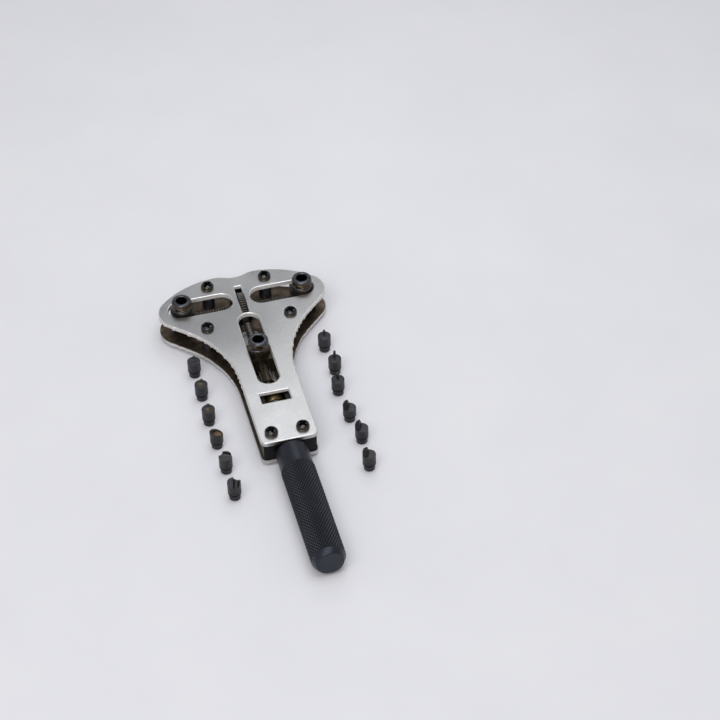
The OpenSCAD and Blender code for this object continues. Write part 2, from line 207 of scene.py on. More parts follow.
# turns +Z onto +X, and +Z onto -Y, the way from the head to the handle
ALONG_X = Matrix(((0, 0, 1, 0), (1, 0, 0, 0), (0, 1, 0, 0), (0, 0, 0, 1)))
ALONG_HANDLE = Matrix(((1, 0, 0, 0), (0, 0, -1, 0), (0, 1, 0, 0), (0, 0, 0, 1)))


def shell(contours, low, high, top_round, low_round, wall_rows=2, push=None):
    """A slab with rounded edges: its points, faces, normals, the (contour, number, ring) of each
    point, and the count of rings, which run from the top to the underside. Contours keep the
    material on their left. push(contour, number, point, share) moves a wall point outwards."""
    rings = []
    for k in range(ROUND_STEPS + 1):
        a = math.pi / 2 * k / ROUND_STEPS
        rings.append((top_round * (1 - math.sin(a)), high - top_round * (1 - math.cos(a)),
                      math.sin(a), math.cos(a)))
    for k in range(1, wall_rows):
        t = k / wall_rows
        rings.append((0, (high - top_round) * (1 - t) + (low + low_round) * t, 1, 0))
    for k in range(ROUND_STEPS + 1):
        a = math.pi / 2 * (1 - k / ROUND_STEPS)
        rings.append((low_round * (1 - math.sin(a)), low + low_round * (1 - math.cos(a)),
                      math.sin(a), -math.cos(a)))
    verts, normals, faces, info = [], [], [], []
    first_ring, last_ring = [], []
    for number, contour in enumerate(contours):
        points = np.array(contour)
        before = points - np.roll(points, 1, 0)
        after = np.roll(points, -1, 0) - points
        before /= np.linalg.norm(before, axis=1)[:, None]
        after /= np.linalg.norm(after, axis=1)[:, None]
        turn = before + after
        turn /= np.linalg.norm(turn, axis=1)[:, None]
        out = np.stack([turn[:, 1], -turn[:, 0]], 1)
        stretch = np.clip((turn * after).sum(1), 0.5, 1)
        count = len(points)
        base = len(verts)
        for k, (inset, z, flat, up) in enumerate(rings):
            share = k / (len(rings) - 1)
            for i in range(count):
                shove = push(number, i, points[i], share) if push else 0
                x, y = points[i] - out[i] * (inset / stretch[i] - shove)
                verts.append((x, y, z))
                normals.append((out[i][0] * flat, out[i][1] * flat, up))
                info.append((number, i, k))
            if k:
                for i in range(count):
                    n = (i + 1) % count
                    a, b = base + (k - 1) * count, base + k * count
                    faces.append((a + i, b + i, b + n, a + n))
        first_ring.append(range(base, base + count))
        last_ring.append(range(base + (len(rings) - 1) * count, base + len(rings) * count))
    for ring, flip in ((first_ring, False), (last_ring, True)):
        faces += cap(verts, ring, flip)
    return verts, faces, normals, info, len(rings)


def cap(verts, loops, flip):
    """Triangles that fill the space between loops of points, holes left open."""
    index = [i for loop in loops for i in loop]
    flat = [Vector(verts[i][:2]) * 1000 for i in index]
    edges = []
    start = 0
    for loop in loops:
        count = len(loop)
        edges += [(start + i, start + (i + 1) % count) for i in range(count)]
        start += count
    points, _, triangles, origin, _, _ = delaunay_2d_cdt(flat, edges, [], 1, 1e-7)
    rims = [np.array([flat[i] for i in range(s, s + len(loop))]) for s, loop in
            zip(np.cumsum([0] + [len(loop) for loop in loops[:-1]]), loops)]
    faces = []
    for tri in triangles:
        a, b, c = (points[i] for i in tri)
        middle = (a + b + c) / 3
        if sum(inside(middle, rim) for rim in rims) % 2 == 0:
            continue
        face = [index[origin[i][0]] for i in tri]
        up = (b - a).cross(c - a) > 0
        faces.append(face if up != flip else face[::-1])
    return faces


def inside(point, rim):
    """True if the point is inside a closed line."""
    x, y = point
    nxt = np.roll(rim, -1, 0)
    crosses = (rim[:, 1] > y) != (nxt[:, 1] > y)
    rise = np.where(crosses, nxt[:, 1] - rim[:, 1], 1)
    at = rim[:, 0] + (y - rim[:, 1]) / rise * (nxt[:, 0] - rim[:, 0])
    return int((crosses & (x < at)).sum()) % 2 == 1


def set_normals(obj, normals, free):
    """Sets smooth normals by formula, apart from free points, which keep the mesh's own."""
    own = np.zeros(len(obj.data.vertices) * 3, np.float32)
    obj.data.vertex_normals.foreach_get("vector", own)
    own = own.reshape(-1, 3)
    made = np.array(normals, np.float32)
    made[free] = own[free]
    for edge in obj.data.edges:
        edge.use_edge_sharp = False
    obj.data.normals_split_custom_set_from_vertices(made.tolist())


# ---------------------------------------------------------------- materials


class Surface:
    """A material whose nodes read places on the resting object, so that they move with it."""

    def __init__(self, name, metallic, coat=0.0, coat_roughness=0.1):
        self.material = bpy.data.materials.new(name)
        self.material.use_nodes = True
        self.tree = self.material.node_tree
        self.shader = self.tree.nodes["Principled BSDF"]
        self.shader.inputs["Metallic"].default_value = metallic
        if coat:
            self.shader.inputs["Coat Weight"].default_value = coat
            self.shader.inputs["Coat Roughness"].default_value = coat_roughness
        self.place = self.add("ShaderNodeTexCoord").outputs["Object"]
        self.bumps = None

    def add(self, kind, inputs=(), **settings):
        """A new node; an input is a number or another node's output."""
        made = self.tree.nodes.new(kind)
        for key, value in settings.items():
            setattr(made, key, value)
        for key, value in dict(inputs).items():
            if isinstance(value, bpy.types.NodeSocket):
                self.tree.links.new(value, made.inputs[key])
            else:
                made.inputs[key].default_value = value
        return made

    def noise(self, size, detail, rough=0.55, stretch=(1, 1, 1), turn=(0, 0, 0)):
        """Noise with features of about that size in millimetres, from 0 to 1."""
        scale = [1 / (size * MM * s) for s in stretch]
        spot = self.add("ShaderNodeMapping", {"Vector": self.place, "Rotation": turn,
                                              "Scale": scale}).outputs["Vector"]
        return self.add("ShaderNodeTexNoise", {"Vector": spot, "Scale": 1.0, "Detail": detail,
                                               "Roughness": rough}).outputs["Fac"]

    def value(self, name):
        """A number that the mesh stores for its points or its faces."""
        return self.add("ShaderNodeAttribute", attribute_name=name).outputs["Fac"]

    def remap(self, value, low, high, to_low=0.0, to_high=1.0):
        """A number stretched from one range to another, and kept inside it."""
        return self.add("ShaderNodeMapRange", {"Value": value, "From Min": low, "From Max": high,
                                               "To Min": to_low, "To Max": to_high}
                        ).outputs["Result"]

    def math(self, kind, a, b):
        """Arithmetic of two numbers."""
        return self.add("ShaderNodeMath", {0: a, 1: b}, operation=kind).outputs[0]

    def mix(self, factor, a, b):
        """Mix of two colours."""
        colour = [c if isinstance(c, bpy.types.NodeSocket) else (*c, 1.0) for c in (a, b)]
        return self.add("ShaderNodeMix", {"Factor": factor, 6: colour[0], 7: colour[1]},
                        data_type="RGBA").outputs[2]

    def blend(self, factor, a, b):
        """Mix of two numbers."""
        return self.add("ShaderNodeMix", {0: factor, 2: a, 3: b}).outputs[0]

    def bump(self, height, depth, strength):
        """Adds relief that is depth millimetres deep."""
        inputs = {"Height": height, "Distance": depth * MM, "Strength": strength}
        if self.bumps is not None:
            inputs["Normal"] = self.bumps
        self.bumps = self.add("ShaderNodeBump", inputs).outputs["Normal"]

    def metal(self, value):
        """How metallic it is, place by place."""
        self.tree.links.new(value, self.shader.inputs["Metallic"])

    def finish(self, colour, roughness):
        """Connects what was made to the shader, and gives the material."""
        self.tree.links.new(colour, self.shader.inputs["Base Color"])
        self.tree.links.new(roughness, self.shader.inputs["Roughness"])
        if self.bumps is not None:
            self.tree.links.new(self.bumps, self.shader.inputs["Normal"])
        return self.material


def satin_steel():
    """Satin stainless plate: fine grain, clouded polish, faint scratches, a darker patch on the head
    that is painted shade, torn sheared sides, pale slot walls whose near-white is partly a painted
    reflection, a painted highlight on the rounded top edge, inner faces in a brown painted shade, and
    painted shade on the front plate's underside and the back plate's inner face near the head, with
    the punched walls' lower part darker."""
    s = Surface("satin_steel", metallic=1.0)
    cloud = s.noise(14, 2)
    mottle = s.noise(1.3, 4, 0.65)
    grain = s.noise(0.22, 2, 0.7)
    brush = s.noise(0.25, 2, 0.6, stretch=(1, 40, 1), turn=(0, 0, 0.15))
    scratch = s.remap(s.noise(0.35, 1, 0.3, stretch=(1, 28, 1), turn=(0, 0, -0.5)), 0.70, 0.80)
    shear = s.value("shear")
    edge = s.value("edge")
    wall = s.value("wall")
    inner = s.value("inner")
    tone = s.mix(s.remap(mottle, 0.3, 0.7), (0.49, 0.495, 0.505), (0.56, 0.565, 0.575))
    tone = s.mix(s.remap(cloud, 0.35, 0.65, 0, 0.35), tone, (0.595, 0.595, 0.59))
    # A darker patch on the head: painted shade, standing in for the darker reflection there.
    painted_dark_spot = (-10 * MM, down(36), front_high.z)
    away = s.add("ShaderNodeVectorMath", {0: s.place, 1: painted_dark_spot},
                 operation="DISTANCE").outputs["Value"]
    painted_dark_patch = s.add("ShaderNodeMapRange", {"Value": away, "From Min": 6 * MM, "From Max": 33 * MM,
                                        "To Min": 0.36, "To Max": 0.0},
                 interpolation_type="SMOOTHSTEP").outputs["Result"]
    tone = s.mix(painted_dark_patch, tone, (0.13, 0.132, 0.142))
    # Inner faces, which face the other plate, get a brown painted shade.
    painted_light = s.mix(s.remap(s.noise(4, 4, 0.6), 0.3, 0.7), (0.11, 0.085, 0.062), (0.30, 0.24, 0.185))
    tone = s.mix(inner, tone, painted_light)
    # Painted shade, near black, on the front plate's underside and the back plate's inner face near
    # the head; the punched walls' lower part is darkened too.
    tone = s.mix(s.value("under"), tone, (0.04, 0.035, 0.03))
    # The front plate's rounded top edge is painted pale: partly burnish, partly a painted highlight.
    tone = s.mix(edge, tone, (0.96, 0.955, 0.94))
    torn = s.mix(s.remap(s.noise(0.45, 4, 0.7, stretch=(1, 1, 3)), 0.35, 0.65),
                 (0.60, 0.56, 0.55), (0.93, 0.90, 0.89))
    tone = s.mix(shear, tone, torn)
    # Slot walls are near-white and matte: partly the paler cut metal, partly a painted reflection.
    tone = s.mix(wall, tone, (0.96, 0.95, 0.93))
    rough = s.math("ADD", s.remap(cloud, 0.3, 0.7, 0.30, 0.37), s.remap(grain, 0.3, 0.7, -0.04, 0.04))
    rough = s.math("SUBTRACT", rough, s.math("MULTIPLY", scratch, 0.05))
    rough = s.blend(inner, rough, 0.48)
    rough = s.blend(edge, rough, 0.24)
    rough = s.blend(shear, rough, 0.55)
    rough = s.blend(wall, rough, 0.5)
    s.metal(s.blend(shear, s.blend(wall, s.blend(edge, 1.0, 0.6), 0.25), 0.35))
    s.bump(grain, 0.010, 0.5)
    s.bump(brush, 0.006, 0.35)
    s.bump(scratch, -0.0012, 0.4)
    s.bump(s.math("MULTIPLY", s.noise(0.5, 4, 0.7), shear), 0.25, 0.8)
    return s.finish(tone, rough)


def oxide(name, tone, side_tint_and_reflection, wear_and_highlight_tone, rough, grain_depth, coat=0.25, specks=0.10):
    """Blackened steel: its tone where it faces up, another on turned sides, whose difference is
    partly the oxide's own tint and partly a painted reflection, worn edges that are partly a painted
    highlight, painted shade where marked, and a painted golden reflection where marked. The grain's
    depth is in millimetres; specks is how strongly worn spots show elsewhere."""
    s = Surface(name, metallic=0.85, coat=coat, coat_roughness=0.16)
    cloud = s.noise(3.5, 3)
    fine = s.noise(0.35, 3, 0.7)
    speck = s.remap(s.noise(0.7, 3, 0.8), 0.62, 0.78)
    # Sides are coloured apart from faces that point up: partly the oxide's own tint, partly a painted
    # reflection.
    colour = s.mix(s.value("side"), tone, side_tint_and_reflection)
    colour = s.mix(s.remap(cloud, 0.35, 0.7, 0, 0.5), colour, [c * 1.7 for c in tone])
    colour = s.mix(s.math("MULTIPLY", speck, specks), colour, wear_and_highlight_tone)
    # Worn edges turn golden: partly wear, partly a painted highlight.
    wear_and_highlight = s.math("MULTIPLY", s.value("edge"), s.remap(s.noise(0.9, 3), 0.35, 0.6, 0.15, 1.0))
    colour = s.mix(s.math("MULTIPLY", wear_and_highlight, 0.45), colour, wear_and_highlight_tone)
    # Painted shade, near black, in recesses, thread roots, sockets and where the bits' heads meet
    # their shanks.
    painted_shade = s.value("painted_shade")
    colour = s.mix(painted_shade, colour, (0.004, 0.004, 0.004))
    # A painted golden reflection where marked.
    colour = s.mix(s.value("painted_light"), colour, (0.30, 0.21, 0.09))
    roughness = s.math("ADD", s.remap(cloud, 0.3, 0.7, rough - 0.05, rough + 0.06),
                       s.remap(fine, 0.3, 0.7, -0.05, 0.05))
    roughness = s.math("SUBTRACT", roughness, s.math("MULTIPLY", wear_and_highlight, 0.08))
    roughness = s.blend(painted_shade, roughness, 0.7)
    s.bump(fine, grain_depth, 0.6)
    s.bump(cloud, 0.02, 0.3)
    return s.finish(colour, roughness)


def spring_wire():
    """Straw coloured spring wire with drawing marks."""
    s = Surface("spring_steel", metallic=1.0)
    tone = s.mix(s.remap(s.noise(1.2, 3), 0.35, 0.65), (0.10, 0.07, 0.035), (0.36, 0.27, 0.15))
    rough = s.remap(s.noise(0.3, 3), 0.3, 0.7, 0.24, 0.4)
    s.bump(s.noise(0.15, 2), 0.006, 0.5)
    return s.finish(tone, rough)


def grip_black():
    """Black finish of the handle: blue-black, dusty in places, the knurl's tips lighter and bluer,
    partly polish and partly a painted highlight, and its grooves painted in shade.
    """
    s = Surface("grip_black", metallic=0.55, coat=0.12, coat_roughness=0.3)
    cloud = s.noise(9, 3)
    fine = s.noise(0.3, 3, 0.7)
    dust = s.remap(s.noise(0.55, 1, 0.2), 0.800, 0.825)
    tone = s.mix(s.remap(cloud, 0.3, 0.7), (0.016, 0.019, 0.031), (0.027, 0.031, 0.047))
    # The knurl's tips are lighter and bluer: partly polish, partly a painted highlight.
    tone = s.mix(s.math("MULTIPLY", s.value("edge"), 0.8), tone, (0.19, 0.21, 0.29))
    # Painted shade in the knurl's grooves.
    tone = s.mix(s.value("painted_shade"), tone, (0.006, 0.007, 0.012))
    tone = s.mix(dust, tone, (0.30, 0.29, 0.27))
    rough = s.math("ADD", s.remap(cloud, 0.3, 0.7, 0.36, 0.46), s.remap(fine, 0.3, 0.7, -0.05, 0.05))
    rough = s.blend(s.value("painted_shade"), rough, 0.75)
    s.bump(fine, 0.012, 0.5)
    return s.finish(tone, rough)


def floor_card():
    """Plain pale card."""
    s = Surface("pale_card", metallic=0.0)
    tone = s.mix(s.remap(s.noise(60, 3), 0.3, 0.7), (0.835, 0.84, 0.89), (0.865, 0.87, 0.91))
    rough = s.remap(s.noise(2, 3), 0.3, 0.7, 0.75, 0.85)
    s.bump(s.noise(0.5, 3), 0.01, 0.3)
    return s.finish(tone, rough)


STEEL = satin_steel()
# name, tone facing up, tone on turned sides (partly a painted reflection), worn tone (partly a
# painted highlight), roughness, grain's depth
BLACK = oxide("black_oxide", (0.058, 0.064, 0.086), (0.080, 0.056, 0.030), (0.34, 0.27, 0.17),
              0.25, 0.010)
SCREW = oxide("screw_oxide", (0.026, 0.028, 0.038), (0.070, 0.056, 0.028), (0.36, 0.32, 0.24),
              0.22, 0.010)
OILED = oxide("oiled_steel", (0.044, 0.035, 0.022), (0.046, 0.036, 0.021), (0.46, 0.34, 0.16),
              0.26, 0.014, specks=0.8)
STRAW = oxide("tempered_steel", (0.15, 0.11, 0.05), (0.15, 0.11, 0.05), (0.55, 0.42, 0.20),
              0.28, 0.012, specks=0.5)
# Near black: a dark material standing in for the shade between the plates, used on the neck block and
# the bearings.
SHADE = oxide("shade_painted_block", (0.012, 0.012, 0.014), (0.014, 0.012, 0.010), (0.05, 0.04, 0.03),
              0.45, 0.010, coat=0.05)
DARK = oxide("dark_steel", (0.038, 0.037, 0.037), (0.048, 0.041, 0.032), (0.22, 0.19, 0.15),
             0.32, 0.012)
THREAD = oxide("thread_steel", (0.085, 0.078, 0.070), (0.095, 0.080, 0.062), (0.40, 0.36, 0.30),
               0.30, 0.012)
BIT = oxide("bit_steel", (0.036, 0.037, 0.043), (0.030, 0.030, 0.033), (0.12, 0.115, 0.115),
            0.48, 0.018, coat=0.08)
WIRE = spring_wire()
GRIP = grip_black()

# ---------------------------------------------------------------- plates

# millimetres: _R is a radius, _X is across the head and _D is down from its top edge
LOBE_R = 10.9
LOBE_X = 30.1
LOBE_D = 19.6
HUMP_X = 8.2
WAIST_R = 52.3
WAIST_D = 73
NECK_HALF = 13.4
PLATE_LEN = 117.1
CORNER_R = 3
NOTCH_HALF = 2.4
NOTCH_D = 2.1
STEP = 0.3  # between the points of a contour
SCREW_SPOTS = ((14.2, 6.3), (20.35, 34.9), (7.4, 111.2))
SCREW_HOLE_R = 1.6
SIDE_SLOT_R = 5.8
SIDE_SLOT_X = (4.3, 35.9)
MIDDLE_SLOT_R = 5.3
MIDDLE_SLOT_D = (29.5, 79.2)
WHEEL_SLOT = (1.75, 9.3, 28.3)  # half its width, and from and to where down the head
WINDOW = (6.95, 85, 91.6)
WINDOW_CORNER_R = 0.35
TORN_D = (21, 84)  # where the torn sides start and end
TORN_FADE = (6, 12)  # over what length they start and end
BITE_LENGTH = 5.3  # of the shear that nibbled the sides
BRIM_D = (17, 5)  # the back plate's inner face is painted in shade along its rim down to here from the head's top edge, and the shade fades over this
PUNCHED_SHARE = 0.56  # of the rings, the upper part of a punched wall, which is painted pale; the part below is darker


def arc(x, d, radius, start, end):
    """Points of an arc about (x, d), in millimetres; angles in degrees, 90 towards the head."""
    count = max(2, math.ceil(abs(math.radians(end - start)) * radius / STEP))
    return [(x + radius * math.cos(math.radians(start + (end - start) * i / count)),
             d - radius * math.sin(math.radians(start + (end - start) * i / count)))
            for i in range(count + 1)]


def outline():
    """The plates' outline in metres, with the material on its left."""
    top_r = ((LOBE_X - HUMP_X) ** 2 + LOBE_D ** 2 - LOBE_R ** 2) / (2 * (LOBE_D - LOBE_R))
    top_a = math.degrees(math.atan2(top_r - LOBE_D, LOBE_X - HUMP_X))
    waist_x = NECK_HALF + WAIST_R
    reach = math.hypot(waist_x - LOBE_X, WAIST_D - LOBE_D)
    lobe_a = math.degrees(math.acos((LOBE_R + WAIST_R) / reach)
                          - math.atan2(WAIST_D - LOBE_D, waist_x - LOBE_X))
    half = [(NOTCH_HALF, NOTCH_D)]
    half += arc(HUMP_X, top_r, top_r, 90, top_a)
    half += arc(LOBE_X, LOBE_D, LOBE_R, top_a, lobe_a)[1:]
    half += arc(waist_x, WAIST_D, WAIST_R, 180 + lobe_a, 180)[1:]
    half += arc(NECK_HALF - CORNER_R, PLATE_LEN - CORNER_R, CORNER_R, 0, -90)
    line = half + [(-x, d) for x, d in reversed(half)]
    return [(x * MM, down(d)) for x, d in even(line)][::-1]


def even(line):
    """Adds points to a closed line, in millimetres, where it has gaps, and eases its kinks."""
    out = []
    for (ax, ay), (bx, by) in zip(line, line[1:] + line[:1]):
        gap = math.hypot(bx - ax, by - ay)
        if gap < 0.01:
            continue
        count = max(1, round(gap / STEP))
        out += [(ax + (bx - ax) * i / count, ay + (by - ay) * i / count) for i in range(count)]
    points = np.array(out)
    soft = (points[:, 1] < NOTCH_D + 1) & (np.abs(points[:, 0]) < HUMP_X + 2)
    for _ in range(10):
        mean = (np.roll(points, 1, 0) + np.roll(points, -1, 0)) / 2
        points[soft] = mean[soft]
    return [tuple(p) for p in points]


def slot_hole(ends, width):
    """A slot with round ends between two places (x, d), as a hole's contour in metres."""
    (ax, ad), (bx, bd) = ends
    along = math.degrees(math.atan2(ad - bd, bx - ax))
    line = arc(bx, bd, width / 2, along + 90, along - 90)
    line += arc(ax, ad, width / 2, along - 90, along - 270)
    return [(x * MM, down(d)) for x, d in line]


def box_hole(half, start, end, corner):
    """A rectangular hole with small round corners."""
    line = []
    for x, d, turn in ((half - corner, start + corner, 90), (half - corner, end - corner, 0),
                       (corner - half, end - corner, -90), (corner - half, start + corner, -180)):
        line += [(x + corner * math.cos(math.radians(turn - 18 * i)),
                  d - corner * math.sin(math.radians(turn - 18 * i))) for i in range(6)]
    return [(x * MM, down(d)) for x, d in line]


def plate_contours():
    """The outline, then the holes: two side slots, middle slot, wheel slot, window, screws."""
    near = SIDE_SLOT_X[0] + SIDE_SLOT_R
    far = SIDE_SLOT_X[1] - SIDE_SLOT_R
    top = MIDDLE_SLOT_D[0] + MIDDLE_SLOT_R
    bottom = MIDDLE_SLOT_D[1] - MIDDLE_SLOT_R
    jaw_d = (head_y - jaw_y) / MM
    holes = [slot_hole(((near, jaw_d), (far, jaw_d)), 2 * SIDE_SLOT_R),
             slot_hole(((-far, jaw_d), (-near, jaw_d)), 2 * SIDE_SLOT_R),
             slot_hole(((0, top), (0, bottom)), 2 * MIDDLE_SLOT_R),
             box_hole(*WHEEL_SLOT, WINDOW_CORNER_R),
             box_hole(*WINDOW, WINDOW_CORNER_R)]
    for x, d in SCREW_SPOTS:
        for side in (1, -1):
            # a slot of almost no length, which makes a round hole
            ends = ((side * x - 0.001, d), (side * x + 0.001, d))
            holes.append(slot_hole(ends, 2 * SCREW_HOLE_R))
    return [outline()] + holes


PUNCHED = (4, 5)  # the wheel slot and the window, among plate_contours


def torn_share(y):
    """How torn the sheared side is at a place on the outline: 1 along the concave sides."""
    d = (head_y - y) / MM
    rise = min(max((d - TORN_D[0]) / TORN_FADE[0], 0), 1)
    fall = min(max((TORN_D[1] - d) / TORN_FADE[1], 0), 1)
    return rise * fall


def make_plate(name, node, low, high, top_round, low_round, bite, inner_side):
    """A plate with rounded edges, and sides torn as deep as bite says. inner_side is 1 if its
    top faces the other plate, and -1 if its underside does."""
    contours = plate_contours()
    rim = np.array(contours[0])
    lengths = np.concatenate([[0], np.cumsum(np.linalg.norm(np.diff(rim, axis=0), axis=1))]) / MM
    seed = Vector((7.3, low / MM, 1.9))

    def push(contour, i, point, share):
        """Cusps between the shear's bites, roughness, and a lower part that is dragged in."""
        if contour:
            return 0
        torn = torn_share(point[1])
        if torn == 0:
            return 0
        nibble = BITE_LENGTH + 0.5 * noise.noise(Vector((lengths[i] * 0.05, 3.1, 0)) + seed)
        u = (lengths[i] / nibble) % 1  # runs from 0 to 1 along each bite
        cusp = max(0, 1 - min(u, 1 - u) * 5.5) ** 1.5
        drag = min(u / 0.88, (1 - u) / 0.12) * 0.30
        rough = noise.noise(Vector((lengths[i] * 1.1, share * 4, 0)) + seed)
        fine = noise.noise(Vector((lengths[i] * 3.7, share * 9, 5)) + seed)
        lower = max(0, share - 0.35) / 0.65
        ragged = cusp * 0.40 + rough * 0.16 + fine * 0.11 - lower * (drag + 0.10)
        return bite * torn * ragged * MM * min(1, share * 3.5)

    verts, faces, normals, info, rings = shell(contours, low, high, top_round, low_round, 8, push)
    obj = new_piece(name, verts, faces, STEEL)
    shear, edge, wall, inner, under, free = [], [], [], [], [], []
    for (contour, _, k), (_, y, _) in zip(info, verts):
        torn = torn_share(y) * bite if contour == 0 else 0
        side = 1 if ROUND_STEPS <= k <= rings - ROUND_STEPS else 0
        punched_low = contour in PUNCHED and k > rings * PUNCHED_SHARE
        faces_in = k < ROUND_STEPS - 1 if inner_side == 1 else k > rings - ROUND_STEPS
        bends = inner_side == -1 and 0 < k < ROUND_STEPS
        # dark marks painted shade: the front plate's underside, and the back plate's inner face near
        # the head's top edge; on the front plate the lower part of the wheel slot's and window's
        # walls is darkened as well.
        if inner_side == -1:
            dark = faces_in or punched_low
        else:
            near_head = (BRIM_D[0] - (head_y - y) / MM) / BRIM_D[1] if contour == 0 else 0
            dark = faces_in * min(1, max(0, near_head))
        shear.append(min(1, torn) * side)
        # The rounded top edge is painted pale, partly burnish and partly a painted highlight; slot
        # walls are painted near-white, partly a painted reflection.
        edge.append(math.sin(math.pi * k / ROUND_STEPS) if bends else 0)
        wall.append(side if contour and not punched_low else 0)
        inner.append(faces_in)
        under.append(dark)
        free.append(torn > 0 and 0 < k < rings - 1)
    for what, values in (("shear", shear), ("edge", edge), ("wall", wall), ("inner", inner),
                         ("under", under)):
        point_values(obj, what, values)
    set_normals(obj, normals, np.array(free))
    stand_for(obj, node)


make_plate("front_plate_sheared", "front_plate", front_low.z, front_high.z, 0.56 * MM, 0.15 * MM,
           1.3, -1)
make_plate("back_plate_sheared", "back_plate", back_low.z, back_high.z, 0.25 * MM, 0.4 * MM,
           0.9, 1)

# ---------------------------------------------------------------- screws


def cross_cutter(size, depth, high):
    """A Phillips point: four tapering wings round a cone, pointing down from height high."""
    wings = bmesh.new()
    for turn in (0, 90):
        spin = Matrix.Rotation(math.radians(turn), 4, "Z")
        corners = []
        for z, long, wide in ((high + 0.5 * MM, size * 1.30, 0.76 * MM),
                              (high - depth, size * 0.66, 0.46 * MM)):
            for sx, sy in ((1, 1), (-1, 1), (-1, -1), (1, -1)):
                corners.append(wings.verts.new(spin @ Vector((sx * long, sy * wide, z))))
        for quad in ((0, 1, 2, 3), (7, 6, 5, 4), (0, 4, 5, 1), (1, 5, 6, 2), (2, 6, 7, 3),
                     (3, 7, 4, 0)):
            wings.faces.new([corners[i] for i in quad])
    bmesh.ops.create_cone(wings, cap_ends=True, segments=8, radius1=0.12 * MM,
                          radius2=size * 0.74, depth=depth,
                          matrix=Matrix.Translation((0, 0, high - depth / 2 + 0.02 * MM)))
    mesh = bpy.data.meshes.new("cutter")
    bmesh.ops.recalc_face_normals(wings, faces=wings.faces)
    wings.to_mesh(mesh)
    wings.free()
    return mesh


def cut(mesh, cutter):
    """The first mesh with the second taken out of it."""
    a = bpy.data.objects.new("cut_a", mesh)
    b = bpy.data.objects.new("cut_b", cutter)
    for obj in (a, b):
        bpy.context.scene.collection.objects.link(obj)
    modifier = a.modifiers.new("cut", "BOOLEAN")
    modifier.object = b
    modifier.operation = "DIFFERENCE"
    modifier.solver = "EXACT"
    modifier.use_self = True
    made = bpy.data.meshes.new_from_object(a.evaluated_get(bpy.context.evaluated_depsgraph_get()))
    for obj in (a, b):
        bpy.data.objects.remove(obj)
    return made


# head's radius and height, shank's length, dome's height and recess's depth, in millimetres
FRONT_SCREW = {"radius": 3.1, "height": 2.5, "shank": 5.2, "dome": 1.6, "recess": 1.7}
BACK_SCREW = {"radius": 3.0, "height": back_low.z / MM, "shank": 5.6, "dome": 0.7, "recess": 0.85}
FLAT_SHARE = 0.30  # of the head's radius, the flat middle of its dome


def screw_mesh(radius, height, shank, dome, recess):
    """A pan head screw, its head's underside at z = 0."""
    profile = rounded([(-shank, 0, 0), (-shank, 1.2, 0), (0.3 - shank, 1.5, 0), (0, 1.5, 0),
                       (0, radius, 0.12), (height - dome, radius, 0)], 2)
    steps = 9
    for i in range(1, steps + 1):
        a = math.radians(90 * i / steps)
        profile.append(Vector((height - dome + dome * math.sin(a),
                               radius * (FLAT_SHARE + (1 - FLAT_SHARE) * math.cos(a) ** 0.8)))
                       * MM)
    profile.append(Vector((height, 0)) * MM)
    verts, faces = lathe(profile, 72)
    mesh = bpy.data.meshes.new("screw")
    mesh.from_pydata(verts, [], faces)
    return cut(mesh, cross_cutter(radius * 0.70 * MM, recess * MM, height * MM))


def mark_recess(obj, seat, upright, spots, size):
    """Marks faces that lie below the domed head's surface, inside the cross recess, to be painted in
    shade.
    """
    radius = size["radius"]

    def sunk(at):
        off = min(math.hypot(at.x - sx * MM, at.y - down(d)) for sx, d in spots) / MM
        up = (at.z - seat) / MM if upright else (seat - at.z) / MM
        share = min(1, max(0, off / radius - FLAT_SHARE) / (1 - FLAT_SHARE))
        crown = size["height"] - size["dome"] * (1 - math.sqrt(max(0, 1 - share ** 2.5)))
        return 0.1 < up < crown - 0.12 and off < radius * 0.92

    face_values(obj, "painted_shade", sunk)


def screw_set(name, node, seat, upright, size, turns):
    """Six screws at the plates' holes, each turned to its own angle, as one piece."""
    mesh = screw_mesh(**size)
    flip = Matrix.Identity(4) if upright else Matrix.Rotation(math.pi, 4, "X")
    group = bmesh.new()
    spots = [(side * x, d) for x, d in SCREW_SPOTS for side in (1, -1)]
    for (x, d), turn in zip(spots, turns):
        one = mesh.copy()
        one.transform(Matrix.Translation((x * MM, down(d), seat)) @ flip
                      @ Matrix.Rotation(math.radians(turn), 4, "Z"))
        group.from_mesh(one)
    made = bpy.data.meshes.new(name)
    group.to_mesh(made)
    group.free()
    made.materials.clear()
    made.materials.append(SCREW)
    made.shade_smooth()
    made.set_sharp_from_angle(angle=math.radians(32))
    obj = bpy.data.objects.new(name, made)
    bpy.context.scene.collection.objects.link(obj)
    edge_wear(obj, 1.2)
    side_share(obj)
    mark_recess(obj, seat, upright, spots, size)
    stand_for(obj, node)


def side_share(obj):
    """Marks points by how far their surface turns away from straight up, for the oxide's side colour,
    which is partly a painted reflection.
    """
    count = len(obj.data.vertices)
    normal = np.zeros(count * 3, np.float32)
    obj.data.vertex_normals.foreach_get("vector", normal)
    up = normal.reshape(-1, 3)[:, 2]
    point_values(obj, "side", np.clip(1.15 - up * 1.35, 0, 1))


screw_set("front_screws_turned", "front_screws", front_high.z, True, FRONT_SCREW,
          (24, 38, 14, 8, 31, 12))
screw_set("back_screws_turned", "back_screws", back_low.z, False, BACK_SCREW,
          (12, 77, 40, 25, 63, 5))

# ---------------------------------------------------------------- threads and thumb wheel

CROSS_PITCH = 1.25
DRIVE_PITCH = 0.8
ROOT_FLAT = 0.16  # shares of a pitch
FLANKS = 0.62
ROWS_PER_PITCH = 8


def thread_cut(place, angle, pitch, depth, start, end):
    """Depth of a helical thread's groove, fading out at both ends of the thread."""
    fade = min(1, max(0, (place - start) / pitch)) * min(1, max(0, (end - place) / pitch))
    u = (place / pitch - angle / TURN) % 1
    flank = min(1, max(0, (abs(2 * u - 1) - ROOT_FLAT) / FLANKS))
    return -depth * (1 - flank) * fade


